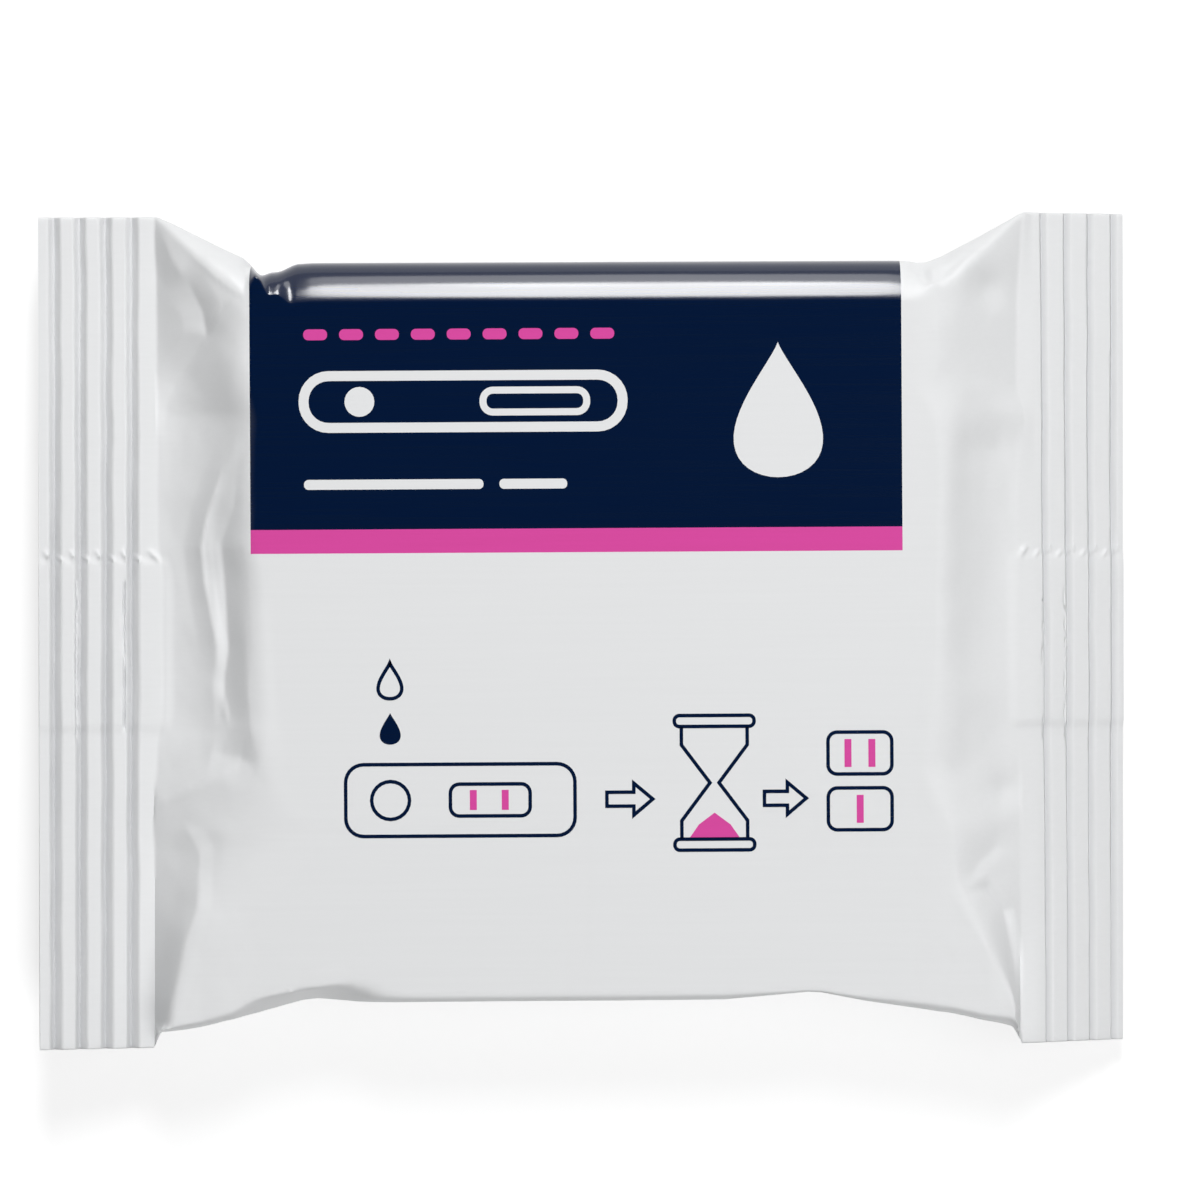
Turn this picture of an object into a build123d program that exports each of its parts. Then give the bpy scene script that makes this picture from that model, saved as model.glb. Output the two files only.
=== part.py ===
"""Sealed flow-wrap pouch: one film tube drawn tight over a flat test device.

The film is crimped flat across both ends, closed by a fin seal that is folded flat along its back, and
filled by the device, so the sealed pack is one solid. It lies on its back with the printed face up.
+X runs from the left end seal to the right one, +Y across the pack, and the origin is on the surface
that it lies on, under its middle. All sizes are in millimetres.
"""

import math
import os

from build123d import *

# Overall form
PACK_LENGTH = 110.0  # cut end to cut end, along X
FILM_WIDTH = 84.0  # width of the film tube pressed flat, which is the length of each end seal
BODY_HEIGHT = 12.0  # from the back film to the front film over the device
FILM_SLACK = 1.2  # half of the film that creases take up on its way round the device
EDGE_ROUND = 4.2  # radius with which the film turns over the body's long edges
LOWER_ROUND = 1.2  # the same for the front film at the -Y edge, where it comes to a crisp fold
NECK_LENGTH = 9.4  # usual length along X from a fold to where the film is full
SHOULDER_ROUND = 2.6  # half of the length over which the film bends off the device's ends
LOWER_LIFT = 0.8  # how far that fold lies above half height, as a share of half the height
UPPER_TAPER = 11.5  # length from a fold to where the +Y edge has come in to the body's width
LOWER_TAPER = 16.5  # the same for the -Y edge, where the film is slacker
UPPER_STEP = 0.4  # how far the +Y edge steps in from an end seal's corner at the fold
LOWER_STEP = 1.4  # the same for the -Y edge

# Crimped end seals
SEAL_LENGTH = 11.8  # along the film, from the fold at the neck to the cut end
SEAL_LEVEL = 6.1  # height of the seals' fold lines above the resting surface, at their +Y ends
LEFT_RISE = 1.3  # how much higher the left fold line is at its -Y end
RIGHT_RISE = 1.9
SEAL_THICKNESS = 0.36  # two films pressed together
LEFT_DROOP = -3.0  # degrees that the left seal hangs below level at its +Y end; it stands up a little
LEFT_TWIST = -11.0  # degrees added to that at its -Y end
RIGHT_DROOP = 21.0
RIGHT_TWIST = 8.0
RIB_PITCH = 2.6
RIB_DEPTH = 0.75
VALLEY_WIDTH = 0.15  # flat floor of a valley between two ribs
FLANK_WIDTH = 0.6  # plan width of a valley's sloping side
FIRST_VALLEY = 2.4  # middle of the first valley, from the fold
SEAL_ROOT = 0.9  # how far a seal runs into the body, past its fold line
ROOT_TIP = 0.1  # thickness to which it narrows there, so that it stays inside the neck's film
FOLD_INSET = 0.08  # how far inside each face of a seal the body's film comes to its end at the fold

# Fin seal along the back, folded flat
FIN_WIDTH = 17.0
FIN_ROOT = 7.2  # where the fin leaves the back film, along Y
FIN_THICKNESS = 0.34
FIN_BULGE = 0.16  # how far the extra films swell each face of the end seals

# How long each neck is across the pack: a share of the half-width, and the share of the usual length there.
# Near the -Y edge the film is full almost from the fold on.
LEFT_NECK = (
    (-1.00, 0.10), (-0.85, 0.27), (-0.70, 0.53), (-0.55, 0.98), (-0.30, 1.04), (0.15, 0.93), (0.30, 0.80),
    (1.00, 0.80),
)
RIGHT_NECK = (
    (-1.00, 0.10), (-0.87, 0.16), (-0.62, 0.68), (-0.48, 0.75), (-0.33, 0.90), (-0.14, 0.80), (0.38, 0.80),
    (0.60, 0.87), (1.00, 0.87),
)

# Puckers where the spare film gathers in the necks: place and reach along the neck as shares of the way
# from the fold to the device, place and reach across as shares of the half-width, and a depth that fades
# to nothing at the long edges. A ridge has a depth below 0.
LEFT_PUCKERS = (
    (0.45, 0.66, 0.40, 0.20, 1.4),
    (0.30, 0.12, 0.30, 0.40, 0.8),
    (0.55, 0.18, 0.20, 0.34, -0.5),
    (0.76, -0.03, 0.20, 0.34, 0.8),
    (0.44, -0.64, 0.26, 0.26, -0.7),
)
RIGHT_PUCKERS = (
    (0.42, 0.80, 0.42, 0.24, 0.5),
    (0.28, 0.10, 0.28, 0.40, 0.7),
    (0.28, -0.56, 0.28, 0.16, 0.7),
)
BACK_PUCKERS = (
    (0.46, 0.66, 0.42, 0.26, 1.1),
    (0.46, -0.68, 0.42, 0.26, 1.1),
)

# Facets of the film
NECK_FACET = 0.95  # about how far apart the necks' sections are, along X
TAPER_FACET = 2.4  # the same from there to the even part of the body
PROFILE_POINTS = 33  # along the front and back lines of a section

# Worked out from the sizes above. The film's girth is the same all along the pack, so the body is narrower
# than the flat film by what goes round the device's height.
BACK_Z = FIN_THICKNESS
TOP_Z = BACK_Z + BODY_HEIGHT
BODY_WIDTH = FILM_WIDTH - FILM_SLACK - BODY_HEIGHT + EDGE_ROUND * (4 - math.pi)
FIN_EDGE = FIN_ROOT - FIN_WIDTH
HALF_SHEET = SEAL_THICKNESS / 2


def fold_distance(droop):
    """How far from the pack's middle an end seal starts, so that its cut end lies at half the length."""
    lean = math.radians(droop)
    return PACK_LENGTH / 2 - SEAL_LENGTH * math.cos(lean) - HALF_SHEET * math.sin(abs(lean))


LEFT_FOLD = fold_distance(LEFT_DROOP)
RIGHT_FOLD = fold_distance(RIGHT_DROOP)


def smooth_min(a, b, reach):
    """The smaller of a and b, with the corner between them rounded over reach."""
    near = max(reach - abs(a - b), 0.0)
    return min(a, b) - near * near / (4 * reach)


def inwards(x):
    """Distance from the fold line on x's side of the pack."""
    return (LEFT_FOLD if x < 0 else RIGHT_FOLD) - abs(x)


def neck_share(x, across):
    """Length of the neck at a share across the half-width, as a share of the usual neck length."""
    points = LEFT_NECK if x < 0 else RIGHT_NECK
    for (place, share), (next_place, next_share) in zip(points, points[1:]):
        if across <= next_place:
            return share + (next_share - share) * (across - place) / (next_place - place)
    return points[-1][1]


def swell(x, neck=1.0):
    """0 where the pack is pressed flat and 1 where it is full, with a rounded shoulder."""
    return smooth_min(inwards(x) / (NECK_LENGTH * neck), 1.0, SHOULDER_ROUND / NECK_LENGTH)


def seal_level(x, across):
    """Height of the fold line on x's side, at a share across the half-width."""
    rise = LEFT_RISE if x < 0 else RIGHT_RISE
    return SEAL_LEVEL + rise * (1 - across) / 2


def front_level(x, across):
    flat = seal_level(x, across) + HALF_SHEET - FOLD_INSET
    return flat + (TOP_Z - flat) * swell(x, neck_share(x, across))


def back_level(x, across):
    flat = seal_level(x, across) - HALF_SHEET + FOLD_INSET
    return flat + (BACK_Z - flat) * swell(x)


def edge_line(x, taper, step):
    """Distance from the pack's middle line to one of its long edges."""
    share = smooth_min(inwards(x) / taper, 1.0, SHOULDER_ROUND / taper)
    at_fold = FILM_WIDTH / 2 - step
    return at_fold + (BODY_WIDTH / 2 - at_fold) * share


def edge_turn(x, full):
    """Plan radius of a long edge that is full over the device."""
    return HALF_SHEET + (full - HALF_SHEET) * swell(x)


def bump(away, reach):
    """1 in the middle of a pucker, falling smoothly to 0 at its reach."""
    return math.cos(math.pi / 2 * min(abs(away) / reach, 1.0)) ** 2


def pucker(puckers, x, across):
    """How far the film sinks at x, at a share across the half-width."""
    along = inwards(x) / NECK_LENGTH
    sink = sum(
        depth * bump(along - place_along, reach_along) * bump(across - place_across, reach_across)
        for place_along, place_across, reach_along, reach_across, depth in puckers
    )
    return sink * (1 - across**2)


def film_line(start, end, level):
    """Points along a front or back line, from one y to another; level is a function of the share across."""
    steps = [i / (PROFILE_POINTS - 1) for i in range(PROFILE_POINTS)]
    ways = [2 * step - 1 if start < end else 1 - 2 * step for step in steps]
    return [(start + (end - start) * step, level(way)) for step, way in zip(steps, ways)]


def section(x):
    """The pack's closed outline at x: front line, back line, and an edge at each side."""
    turn, fold = edge_turn(x, EDGE_ROUND), edge_turn(x, LOWER_ROUND)
    upper = edge_line(x, UPPER_TAPER, UPPER_STEP) - turn
    lowest = -edge_line(x, LOWER_TAPER, LOWER_STEP)
    puckers = LEFT_PUCKERS if x < 0 else RIGHT_PUCKERS
    front_line = film_line(upper, lowest + fold, lambda s: front_level(x, s) - pucker(puckers, x, s))
    front_line = [(y, min(z, TOP_Z)) for y, z in front_line]
    back_line = film_line(lowest + turn, upper, lambda s: back_level(x, s) + pucker(BACK_PUCKERS, x, s))
    front_upper, front_lower = front_level(x, 1), front_level(x, -1)
    back_upper, back_lower = back_level(x, 1), back_level(x, -1)
    upper_middle = (front_upper + back_upper) / 2
    lower_middle = (front_lower + back_lower) / 2
    lower_middle += LOWER_LIFT * swell(x) * (front_lower - back_lower) / 2
    edges = [
        EllipticalCenterArc((upper, upper_middle), turn, front_upper - upper_middle, 0),
        Spline(*front_line, tangents=[(-1, 0), (-1, 0)]),
        EllipticalCenterArc((lowest + fold, lower_middle), fold, front_lower - lower_middle, 90),
        EllipticalCenterArc((lowest + turn, lower_middle), turn, lower_middle - back_lower, 180),
        Spline(*back_line, tangents=[(1, 0), (1, 0)]),
        EllipticalCenterArc((upper, upper_middle), turn, upper_middle - back_upper, 270),
    ]
    plane = Plane(origin=(x, 0, 0), x_dir=(0, 1, 0), z_dir=(1, 0, 0))
    return plane * make_face(Wire(edges))


def stations():
    """Where the sections lie along X: close together in the necks, and none over the even body."""
    reach = max(NECK_LENGTH, UPPER_TAPER, LOWER_TAPER) + SHOULDER_ROUND
    in_neck = math.ceil(NECK_LENGTH / NECK_FACET)
    beyond = math.ceil((reach - NECK_LENGTH) / TAPER_FACET)
    steps = [NECK_LENGTH * i / in_neck for i in range(in_neck)]
    steps += [NECK_LENGTH + (reach - NECK_LENGTH) * i / beyond for i in range(beyond + 1)]
    return [step - LEFT_FOLD for step in steps] + [RIGHT_FOLD - step for step in reversed(steps)]


def body():
    """The filled pillow between the two fold lines, necks included, in straight facets as film creases."""
    return loft([section(x) for x in stations()], ruled=True)


def rib_line(lift):
    """Points along one face of a crimped seal, from just inside its fold out to its cut end."""
    floor, shoulder = VALLEY_WIDTH / 2, VALLEY_WIDTH / 2 + FLANK_WIDTH
    points = [(-SEAL_ROOT, math.copysign(ROOT_TIP / 2, lift)), (0, lift)]
    valley = FIRST_VALLEY
    while valley + shoulder < SEAL_LENGTH:
        points += [(valley - shoulder, lift), (valley - floor, lift - RIB_DEPTH)]
        points += [(valley + floor, lift - RIB_DEPTH), (valley + shoulder, lift)]
        valley += RIB_PITCH
    return points + [(SEAL_LENGTH, lift)]


def seal_section(side, y, bulge):
    """Cross-section of the seal on one side (-1 left, 1 right) at y, with each face swollen by bulge."""
    x = -LEFT_FOLD if side < 0 else RIGHT_FOLD
    across = y / (FILM_WIDTH / 2)
    droop, twist = (LEFT_DROOP, LEFT_TWIST) if side < 0 else (RIGHT_DROOP, RIGHT_TWIST)
    lean = math.radians(droop + twist * (1 - across) / 2)
    outwards = (side * math.cos(lean), 0, -math.sin(lean))
    plane = Plane(origin=(x, y, seal_level(x, across)), x_dir=outwards, z_dir=(0, -side, 0))
    front = rib_line(HALF_SHEET + bulge)
    back = rib_line(-HALF_SHEET - bulge)
    return plane * make_face(Polyline(*front, *reversed(back), close=True))


def end_seal(side):
    """One crimped end seal, slightly twisted, and thicker where the fin is pressed into it."""
    half = FILM_WIDTH / 2
    strips = ((-half, FIN_EDGE, 0), (FIN_EDGE, FIN_ROOT, FIN_BULGE), (FIN_ROOT, half, 0))
    below, across_fin, above = (
        loft([seal_section(side, low, bulge), seal_section(side, high, bulge)], ruled=True)
        for low, high, bulge in strips
    )
    return below + across_fin + above


def fin():
    """The fin seal, lying flat against the back film from one fold line to the other."""
    across = (FIN_ROOT + FIN_EDGE) / FILM_WIDTH
    outer = [(x, back_level(x, across) - FIN_THICKNESS) for x in stations()]
    inner = [(x, back_level(x, across) + FIN_THICKNESS) for x in stations()]
    profile = make_face(Polyline(*outer, *reversed(inner), close=True))
    return extrude(Plane(origin=(0, FIN_ROOT, 0), x_dir=(1, 0, 0), z_dir=(0, -1, 0)) * profile, FIN_WIDTH)


def sealed_pouch():
    return body() + fin() + end_seal(-1) + end_seal(1)


os.makedirs("parts", exist_ok=True)
pouch = sealed_pouch()
export_step(pouch, "parts/sealed_pouch.step")
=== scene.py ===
"""The looks of the sealed flow-wrap pouch.

The film is modelled as one closed skin: two crimped end seals, the necks where it gathers, the body drawn
tight over the hard device inside, and the fin seal folded flat on the back. The print is ink on that film.
The pouch lies on its back on a white table and is seen from straight above. Form is worked out in
millimetres and turned to metres where a mesh is made.
"""

import math
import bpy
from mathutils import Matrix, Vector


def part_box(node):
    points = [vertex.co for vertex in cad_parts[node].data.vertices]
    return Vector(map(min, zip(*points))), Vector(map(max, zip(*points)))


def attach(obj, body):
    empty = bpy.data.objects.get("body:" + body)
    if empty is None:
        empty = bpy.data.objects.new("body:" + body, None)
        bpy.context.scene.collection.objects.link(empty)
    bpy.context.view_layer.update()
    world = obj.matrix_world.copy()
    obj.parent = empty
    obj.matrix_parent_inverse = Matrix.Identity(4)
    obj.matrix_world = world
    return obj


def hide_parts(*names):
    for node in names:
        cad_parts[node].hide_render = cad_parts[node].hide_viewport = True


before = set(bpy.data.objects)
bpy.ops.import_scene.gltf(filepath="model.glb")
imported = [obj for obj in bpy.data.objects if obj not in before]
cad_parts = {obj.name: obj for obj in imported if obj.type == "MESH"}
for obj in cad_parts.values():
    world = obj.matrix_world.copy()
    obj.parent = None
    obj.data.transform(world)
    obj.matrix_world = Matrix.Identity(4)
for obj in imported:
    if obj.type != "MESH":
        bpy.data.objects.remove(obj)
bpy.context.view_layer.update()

from types import SimpleNamespace

import bpy
import numpy as np
from mathutils import Vector

MM = 0.001

# Sizes from the sealed pouch in model.glb
pouch_low, pouch_high = (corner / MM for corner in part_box("sealed_pouch"))
HALF_LENGTH = pouch_high.x
HALF_FILM = pouch_high.y
TOP = pouch_high.z

# Film
FIN_THICKNESS = 0.34
BACK = pouch_low.z + FIN_THICKNESS
HALF_SHEET = 0.18  # half of two films pressed together
RIM = 0.28  # film that goes round the side of a seal
FLAT_HALF = 26.0  # film this far from the middle line always lies on the flat of the front or the back
UPPER_TURN = 4.2  # plan radius with which the front turns over the +Y edge
BACK_TURN = 4.2
BACK_NECK = 9.4
SHOULDER = 0.28  # share of a neck over which the film bends off the device's end
FULL_SHARE = 1.6  # shares of a neck after which the film is full, however it bends
BODY_MIDDLE = (TOP + BACK) / 2
BEVEL_START = 9.5  # from the fold, where the +Y edge begins to slope before it turns
BEVEL_FADE = 2.5
BEVEL_OUT = 0.54  # how far a full bevel shifts the two powers of the ellipse that an edge turns on
BEVEL_DOWN = 0.5

# How far the corners of the listed lines are softened, to each side
FOLD_SOFT = 0.6
NECK_SOFT = 0.6
UPPER_EDGE_SOFT = 0.4
TUCK_SOFT = 0.1
LOWER_EDGE_SOFT = 0.15
LOWER_TURN_SOFT = 0.8

# Creases and small waves in the gathered film
CREASE_POWER = 1.35  # above 1 the sides of a crease hollow in towards its fold
DENT_SPREAD = 0.6  # share of a dent's radius
CRINKLES = ((0.08, 2.6, 3.4, 5), (0.03, 1.1, 1.5, 6))  # (height, length along x, length across, seed)
CRINKLE_RISE = 1.5  # from the fold
CRINKLE_END = 11.0
CRINKLE_FADE = 4.0

# Pleats in the back of the necks
PLEAT_HEIGHT = 0.5
PLEAT_WAVE = 2.3  # width of a pleat over 2 pi
PLEAT_RISE = 3.0
PLEAT_FADE = 4.0
PLEAT_FREE = 12.0  # nearer to the middle line the fin holds the film flat

# Crimped end seals
SEAL_LENGTH = 11.8
RIB_PITCH = 2.6
RIB_VALLEYS = 4
VALLEY_POWER = 0.8  # below 1 the falling side of a valley ends in a rounder floor
UNEVEN_PRESS = 0.14  # share by which the depth of a valley varies along it
UNEVEN_LENGTH = 3.0
UNEVEN_ROW = 2.5  # step in the random waves from one valley to the next
UNEVEN_SEED = 21
PRESSED_DEPTH = 0.45
PRESSED_HALF = 0.16  # half-width of a pressed line
PRESSED_FADE = 0.6
PRESSED_WAVER = 0.1
PRESSED_LENGTH = 0.8
PRESSED_ROW = 3.5  # step in the random waves from one line to the next
PRESSED_SEED = 9
RIB_WANDER = 0.07  # how far the ribs stray from straight lines
WANDER_LENGTH = 5.0
WANDER_RISE = 1.5  # from the cut end, which stays straight
WANDER_SEED = 11
FREE_RIBS = 9.9  # beyond this distance from the cut end the film can stretch to meet the fold line

# Fin seal on the back, which also thickens the end seals
FIN_ROOT = 7.2
FIN_EDGE = -9.8
FIN_LIP = 0.03  # half-width of the step at each side of the fin
FIN_RISE = 2.0  # from the fold, where the fin on the back has its full thickness
FIN_BULGE = 0.16
FIN_FADE = 1.2  # how far that thickening reaches into the necks
ROOT_SLOPE = 1.2  # width over which it runs out at the fin's root
EDGE_SLOPE = 0.6

# Small slanting folds where the crimp crosses the fin's root
SEAM_TOP = 1.3
SEAM_FOOT = 0.3
SEAM_SLANT = 0.8
SEAM_PEAK = 2.6  # a fold is highest at its top over this
SEAM_FOLDS = (  # (first from the cut end, count, top, height, half-width)
    (0.5, 5, SEAM_TOP, 0.36, 0.45),
    (1.7, 4, 0.8, 0.26, 0.36),
)
SEAM_BAND = (FIN_ROOT + SEAM_TOP, FIN_ROOT - 0.4)  # where the film's mesh is closest, for these folds

# Distances between the lines of the film's mesh
SEAL_STEP = 0.17
NECK_STEP = 0.022  # share of a neck
TUCK_STEP = 0.3
BODY_STEP = 1.4
RIM_STEP = 0.1
FRONT_STEP = 0.38
SEAM_STEP = 0.12
BACK_STEP = 1.4
SHARP_ANGLE = 56  # degrees; a fold sharper than this shows as an edge

# Print
PANEL_LEFT = -33.4
PANEL_RIGHT = 32.0
TUCK_END = -28.6  # how far the tuck at the panel's upper left corner reaches
STRIPE_TOP = 10.2
STRIPE_LOW = 7.8
PANEL_WRAP = 38.0  # where the dark panel stops on the back, after it has gone over the +Y edge
INK = 0.02  # how far printed marks stand proud, so that they show clean edges

# The two ends of the pouch. Lines are (place, value) points. Across the film they give how much painted shade
# the crimp's valleys get, the cut end, the fold, the seal's level, its droop in degrees, and the neck's
# length and bend. Inwards from the fold they give the two long edges: their distance from the middle line,
# how far the tuck tightens the upper one, and the lower one's turn, middle height and crispness. Ridges and
# valleys are crease lines of (x, y, height) points, with a reach to the line's left and to its right. Dents
# are (x, y, radius, depth). Pressed lines on a seal are (distance from the cut end, low, high).
LEFT = SimpleNamespace(
    side=-1,
    first_valley=1.65,
    valley_fall=0.72,
    valley_rise=0.66,
    rib_depth=0.85,
    # press: share of painted shade in the crimp's valley bottoms, more towards -Y
    press=((8, 0.8), (28, 0.45)),
    pressed=((3.8, -11.0, 5.6), (8.6, -10.2, 5.4)),
    cut=((-42, HALF_LENGTH), (42, HALF_LENGTH)),
    fold=((-42, 43.6), (-20, 43.5), (-11, 43.1), (-8.5, 42.6), (6.0, 42.5), (8.5, 43.0), (42, 43.1)),
    level=((-42, 7.4), (42, 6.1)),
    droop=((-42, -14.0), (42, -3.0)),
    neck=((-42, 0.8), (-35.9, 2.5), (-29.6, 5.0), (-23.7, 9.0), (-21.6, 10.2), (-12, 9.8), (6, 9.0),
          (14, 8.8), (21.5, 9.4), (27, 8.0), (42, 7.4)),
    bend=((-24, 0.4), (-20, 0.4), (-15, -0.1), (-10, -0.75), (14, -0.7), (20, -0.85), (22, -0.85), (27, -0.3),
          (34, 0.2)),
    upper_edge=((0, 42.0), (9.0, 37.7), (10.7, 35.8), (11.5, 36.25), (12.6, 36.3), (14.2, 37.1), (16.0, 37.2),
                (41, 37.15)),
    upper_tuck=((9.2, 0.0), (10.2, 0.85), (10.8, 0.85), (11.5, 0.4), (12.6, 0.4), (13.8, 0.0)),
    lower_edge=((0, 41.9), (0.7, 40.3), (5.0, 39.7), (10.6, 38.3), (15.8, 37.0), (21.0, 37.3), (41, 37.25)),
    lower_turn=((0, 0.3), (4, 0.8), (7.6, 1.0), (10, 1.5), (14, 1.3), (16, 1.2), (18, 1.7), (20, 1.7),
                (22.5, 1.2), (25, 0.8)),
    lower_middle=((0, 7.4), (2.5, 10.4), (7.6, 11.1), (10.6, 10.4), (13.6, 8.6), (15.7, 7.8), (17.7, 8.2),
                  (19.7, 9.4), (22, 11.0), (25, 11.5)),
    lower_crisp=((8, 0.0), (11, 0.8), (20, 0.8), (23, 0.0)),
    ridges=(
        (((-43.0, 41.4, 0.1), (-42.1, 39.4, 0.45), (-41.1, 37.1, 0.5), (-40.0, 35.6, 0.25), (-39.2, 34.2, 0)),
         3.0, 2.2),
        (((-34.4, 19.1, 0), (-36.5, 16.0, 0.45), (-38.0, 11.6, 0.6), (-38.6, 8.6, 0.6), (-38.3, 5.1, 0.55),
          (-37.3, -0.2, 0.45), (-37.0, -3.8, 0)), 1.2, 1.8),
        (((-36.3, -6.1, 0), (-36.2, -8.0, 0.25), (-36.0, -9.8, 0)), 0.6, 0.6),
        (((-34.3, 4.0, 0), (-34.1, 0.5, 0.25), (-33.8, -6.5, 0.35), (-33.4, -10.3, 0.35),
          (-32.7, -13.2, 0.1)), 3.0, 2.4),
        (((-42.6, -17.1, 0.5), (-39.8, -15.9, 0.6), (-36.3, -14.5, 0.35), (-33.0, -13.3, 0)), 2.6, 4.6),
        (((-41.6, -17.5, 0), (-40.0, -20.0, 0.2), (-38.8, -22.2, 0.3), (-39.0, -27.7, 0.4),
          (-40.2, -31.2, 0.4), (-41.2, -36.0, 0.3), (-42.8, -40.0, 0)), 1.6, 2.2),
        (((-25.8, -33.6, 0), (-25.3, -35.0, 0.25), (-24.9, -36.2, 0.2)), 1.0, 0.6),
    ),
    valleys=(
        (((-40.6, 36.4, 0), (-39.4, 34.6, -0.4), (-38.2, 32.3, -0.7), (-37.8, 29.9, -0.9)), 2.0, 2.4),
        (((-37.8, 29.9, -0.9), (-38.9, 28.2, -0.9), (-40.3, 26.2, -0.8), (-41.2, 24.9, -0.6),
          (-42.0, 23.0, -0.3), (-42.4, 19.8, 0)), 4.4, 2.4),
        (((-34.4, 19.1, 0), (-35.1, 12.5, -0.4), (-36.5, 8.9, -0.5), (-36.2, 5.4, -0.6), (-35.8, -1.6, -0.8),
          (-36.3, -5.0, -0.7), (-36.2, -9.0, -0.2), (-36.0, -10.5, 0)), 2.6, 1.2),
        (((-37.6, -12.0, 0), (-36.5, -12.3, -0.4), (-34.5, -12.8, -0.6), (-32.7, -13.3, 0)), 3.4, 3.0),
    ),
    dents=(),
)
RIGHT = SimpleNamespace(
    side=1,
    first_valley=1.1,
    valley_fall=0.42,
    valley_rise=0.5,
    rib_depth=0.55,
    # press: share of painted shade in the crimp's valley bottoms, the same all along
    press=((-42, 0.7), (42, 0.7)),
    pressed=((6.7, -11.5, 4.0), (9.25, -11.6, 3.0)),
    cut=((-42, HALF_LENGTH - 0.5), (42, HALF_LENGTH)),
    fold=((-42, 43.8), (-16, 43.9), (-9, 43.9), (-1, 43.7), (7, 43.8), (14, 44.0), (21, 44.4), (24, 43.8),
          (33, 43.9), (42, 44.6)),
    level=((-42, 8.0), (42, 6.1)),
    droop=((-42, 29.0), (42, 21.0)),
    neck=((-42, 0.5), (-37.3, 0.6), (-26.5, 6.0), (-25, 6.7), (-20, 6.9), (-14, 8.6), (-6, 7.4), (16, 7.4),
          (25, 8.2), (42, 8.2)),
    bend=((-20, 0.0), (-10, -0.3), (0, -0.6), (18, -0.6), (24, 0.1), (42, 0.2)),
    upper_edge=((0, 42.0), (7.8, 37.8), (10.0, 36.9), (12.5, 37.1), (41, 37.15)),
    upper_tuck=((0, 0.0), (40, 0.0)),
    lower_edge=((0, 41.7), (0.8, 40.2), (6.6, 38.8), (15.8, 37.4), (20.8, 36.4), (30.0, 37.2), (41, 37.25)),
    lower_turn=((0, 0.5), (0.8, 1.3), (3.8, 0.9), (9, 0.9), (14, 0.7), (18, 0.3), (21, 0.2), (24, 0.3),
                (30, 0.8)),
    lower_middle=((0, 8.0), (0.8, 9.5), (3.8, 10.8), (9, 11.0), (14, 11.4), (20, 11.9), (24, 11.8),
                  (30, 11.5)),
    lower_crisp=((0, 0.0), (40, 0.0)),
    ridges=(
        (((35.7, 33.4, 0), (35.7, 30.0, 0.2), (35.8, 25.0, 0)), 1.6, 1.2),
        (((39.4, 22.2, 0), (41.5, 22.0, 0.15), (44.0, 21.7, 0.2)), 3.0, 3.0),
        (((34.1, -14.2, 0), (37.0, -20.2, 0.2), (37.2, -25.0, 0.2), (37.9, -26.5, 0.15), (40.0, -30.5, 0)),
         2.0, 1.6),
        (((34.3, 34.0, 0), (35.2, 34.5, 0.3), (36.2, 34.2, 0)), 0.5, 0.5),
        (((28.0, -9.9, 0), (23.0, -15.5, 0.12), (18.3, -21.0, 0)), 8.0, 6.0),
    ),
    valleys=(
        (((44.2, 41.4, 0), (39.0, 38.0, -0.35), (36.6, 36.0, -0.5), (35.3, 34.0, 0)), 1.6, 1.2),
        (((33.0, 36.9, 0), (34.2, 35.6, -0.45), (35.2, 34.5, -0.1)), 0.9, 0.7),
        (((37.9, -26.5, -0.1), (39.6, -23.6, -0.28), (41.5, -22.2, -0.28), (43.7, -22.3, 0)), 2.6, 1.4),
        (((37.9, -26.5, -0.1), (40.3, -26.3, -0.6), (42.2, -28.6, -0.9), (43.0, -33.0, -0.9),
          (43.3, -37.0, 0)), 1.2, 2.6),
    ),
    dents=((40.8, 34.2, 3.0, 0.5), (42.2, -16.4, 2.8, 0.6)),
)
ENDS = (LEFT, RIGHT)


def line(points, at, soften=0.0):
    """Value at a place along straight runs between given points, with the corners softened."""
    places, values = zip(*points)
    samples = 7
    shifts = np.linspace(-soften, soften, samples)
    return sum(np.interp(at + shift, places, values) for shift in shifts) / samples


def fold_line(end, across):
    """Distance of a neck's fold from the middle of the pouch."""
    return line(end.fold, across, FOLD_SOFT)


def smooth_min(a, b, reach):
    """The smaller of a and b, with the corner between them rounded over reach."""
    near = np.maximum(reach - np.abs(a - b), 0.0)
    return np.minimum(a, b) - near * near / (4 * reach)


def ease(share):
    """0 to 1 with a soft start and a soft end."""
    share = np.clip(share, 0.0, 1.0)
    return share * share * (3 - 2 * share)


def ripple(u, v, seed):
    """Smooth random waves between -1 and 1, with one lattice cell for each unit of u and v."""
    size = 64
    lattice = np.random.default_rng(seed).uniform(-1, 1, (size, size))
    i, j = np.floor(u).astype(int), np.floor(v).astype(int)
    along, across = ease(u - i), ease(v - j)
    i, j, next_i, next_j = i % size, j % size, (i + 1) % size, (j + 1) % size
    near = lattice[i, j] * (1 - along) + lattice[next_i, j] * along
    far = lattice[i, next_j] * (1 - along) + lattice[next_i, next_j] * along
    return near * (1 - across) + far * across


def spaced(stops, step):
    """Places from the first stop to the last, with every stop among them and about a step apart."""
    places = [stops[0]]
    for start, end in zip(stops, stops[1:]):
        count = max(1, round(abs(end - start) / step))
        places += [start + (end - start) * i / count for i in range(1, count + 1)]
    return np.array(places)


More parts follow.
